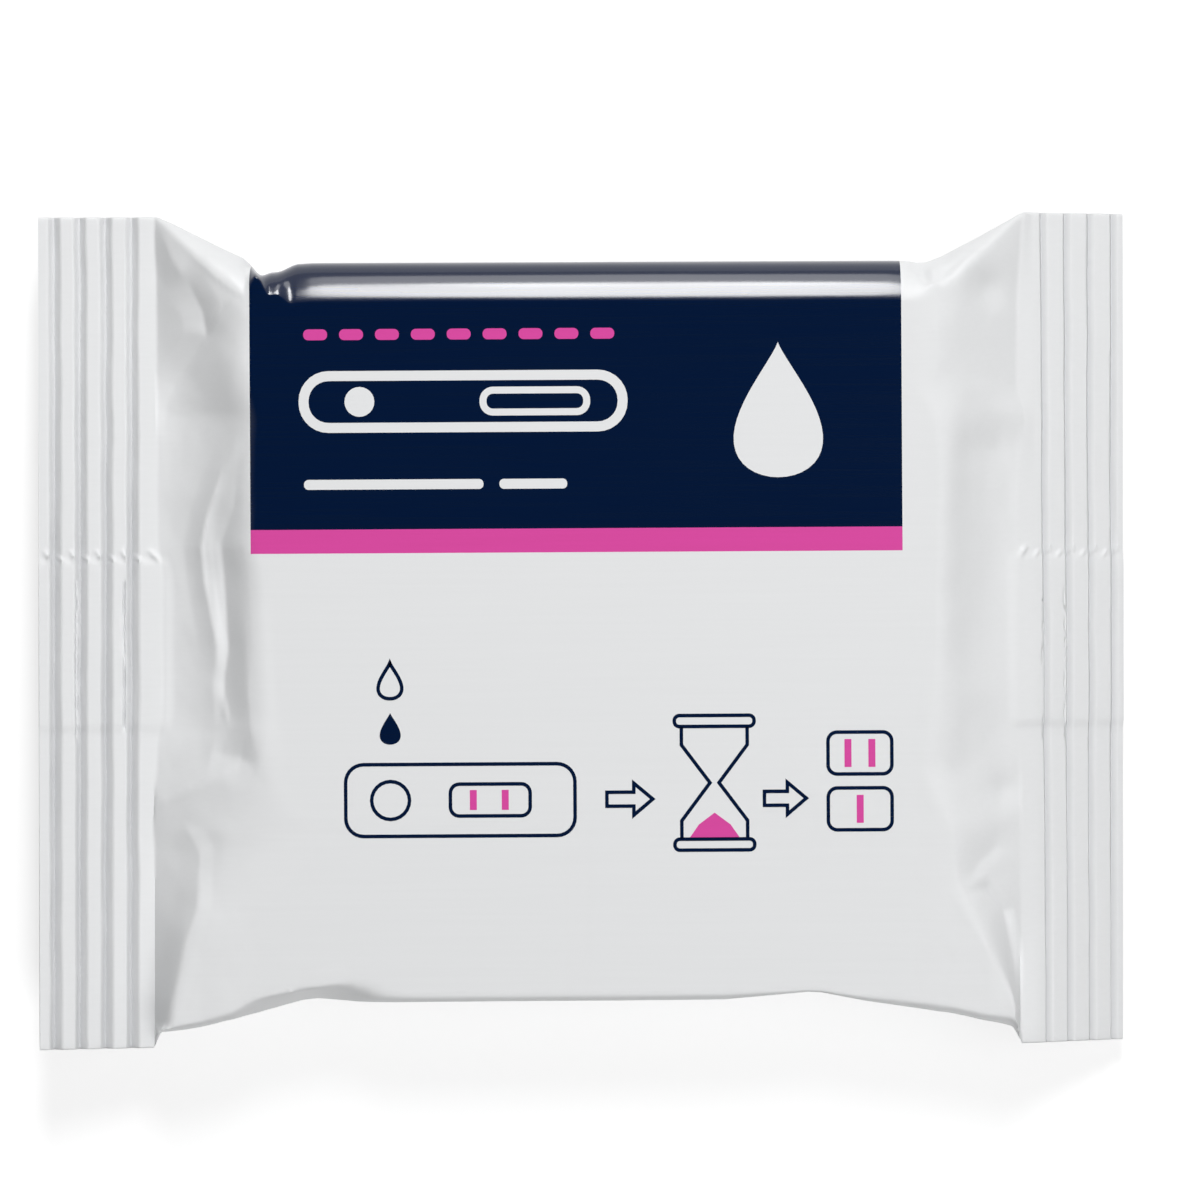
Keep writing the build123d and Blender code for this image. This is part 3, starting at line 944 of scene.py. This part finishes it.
ROOM_FILL = 0.25  # how much of the room's brightness reaches the pouch as fill light
CEILING_START = 0.55  # height of a view into the room, 1 straight up, at which the dark ceiling begins
CEILING_FULL = 0.95
CEILING_LEVEL = 0.03
NEAR_WALL_LEVEL = 0.45  # brightness of the room towards -Y; towards +Y it is 1
TABLE_HALF = 3000.0
TABLE_GAP = 0.2  # between the table and the pouch
TABLE_GLOW = 0.62  # added to the lit table where it is seen, so that it shows white


def seen_ray(tree):
    """1 for what the camera sees, itself or in a reflection or through glass, and 0 for light on surfaces."""
    path = add_node(tree, "ShaderNodeLightPath").outputs
    seen = add_node(
        tree, "ShaderNodeMath", {0: path["Is Camera Ray"], 1: path["Is Glossy Ray"]}, operation="MAXIMUM"
    ).outputs[0]
    return add_node(
        tree, "ShaderNodeMath", {0: seen, 1: path["Is Transmission Ray"]}, operation="MAXIMUM"
    ).outputs[0]


def make_world():
    """A pale room with a dark ceiling, so that the flat film keeps the depth of its ink."""
    world = bpy.data.worlds.new("pale_room")
    bpy.context.scene.world = world
    world.use_nodes = True
    tree = world.node_tree
    tree.nodes.clear()
    way = add_node(tree, "ShaderNodeTexCoord").outputs["Generated"]
    parts = add_node(tree, "ShaderNodeSeparateXYZ", {"Vector": way}).outputs
    ceiling = add_node(
        tree, "ShaderNodeMapRange",
        {"Value": parts["Z"], "From Min": CEILING_START, "From Max": CEILING_FULL, "To Min": 1.0,
         "To Max": CEILING_LEVEL},
    ).outputs["Result"]
    walls = add_node(
        tree, "ShaderNodeMapRange",
        {"Value": parts["Y"], "From Min": -1.0, "From Max": 1.0, "To Min": NEAR_WALL_LEVEL, "To Max": 1.0},
    ).outputs["Result"]
    level = add_node(tree, "ShaderNodeMath", {0: ceiling, 1: walls}, operation="MULTIPLY").outputs[0]
    shown = add_node(
        tree, "ShaderNodeMapRange", {"Value": seen_ray(tree), "To Min": ROOM_FILL, "To Max": 1.0}
    ).outputs["Result"]
    level = add_node(tree, "ShaderNodeMath", {0: level, 1: shown}, operation="MULTIPLY").outputs[0]
    light = add_node(tree, "ShaderNodeBackground", {"Strength": level}).outputs[0]
    add_node(tree, "ShaderNodeOutputWorld", {"Surface": light})


def make_table():
    """A white table that shows as plain white and keeps the pouch's soft shadow."""
    half = TABLE_HALF * MM
    corners = [(-half, -half, 0), (half, -half, 0), (half, half, 0), (-half, half, 0)]
    mesh = bpy.data.meshes.new("table")
    mesh.from_pydata(corners, [], [(0, 1, 2, 3)])
    material, tree = new_material("white_table")
    glow = add_node(
        tree, "ShaderNodeMath", {0: seen_ray(tree), 1: TABLE_GLOW}, operation="MULTIPLY"
    ).outputs[0]
    matt = add_node(tree, "ShaderNodeBsdfDiffuse", {"Color": colour("#C8C8C8")}).outputs[0]
    white = add_node(tree, "ShaderNodeEmission", {"Strength": glow}).outputs[0]
    both = add_node(tree, "ShaderNodeAddShader", {0: matt, 1: white}).outputs[0]
    add_node(tree, "ShaderNodeOutputMaterial", {"Surface": both})
    mesh.materials.append(material)
    table = bpy.data.objects.new("table", mesh)
    bpy.context.scene.collection.objects.link(table)
    table.location.z = -TABLE_GAP * MM


def make_camera():
    """Straight above the pouch, framed as in the photograph, which holds the pouch turned by a hair."""
    distance = 700.0
    frame_width = 121.46
    aim_x, aim_y, aim_height = 1.62, 2.99, 6.1
    turn = -0.33  # degrees
    data = bpy.data.cameras.new("camera")
    data.sensor_width = 36.0
    data.lens = data.sensor_width * distance / frame_width
    camera = bpy.data.objects.new("camera", data)
    bpy.context.scene.collection.objects.link(camera)
    camera.location = (aim_x * MM, aim_y * MM, (distance + aim_height) * MM)
    camera.rotation_euler = (0, 0, math.radians(turn))
    bpy.context.scene.camera = camera


make_film((white_film, navy_ink, pink_ink))
make_pictogram_lines(navy_ink)
make_pink_marks(pink_ink)
make_white_marks(white_film)
make_world()
make_table()
area_light("tall_window", (10, 455, 455), (180, 300), 2.5)
area_light("window_foot", (10, 560, 270), (180, 300), 0.5)
area_light("right_softbox", (420, 0, 600), (300, 600), 0.55)
area_light("near_softbox", (150, -420, 600), (600, 300), 2.3)
make_camera()
bpy.context.scene.view_settings.view_transform = "Standard"
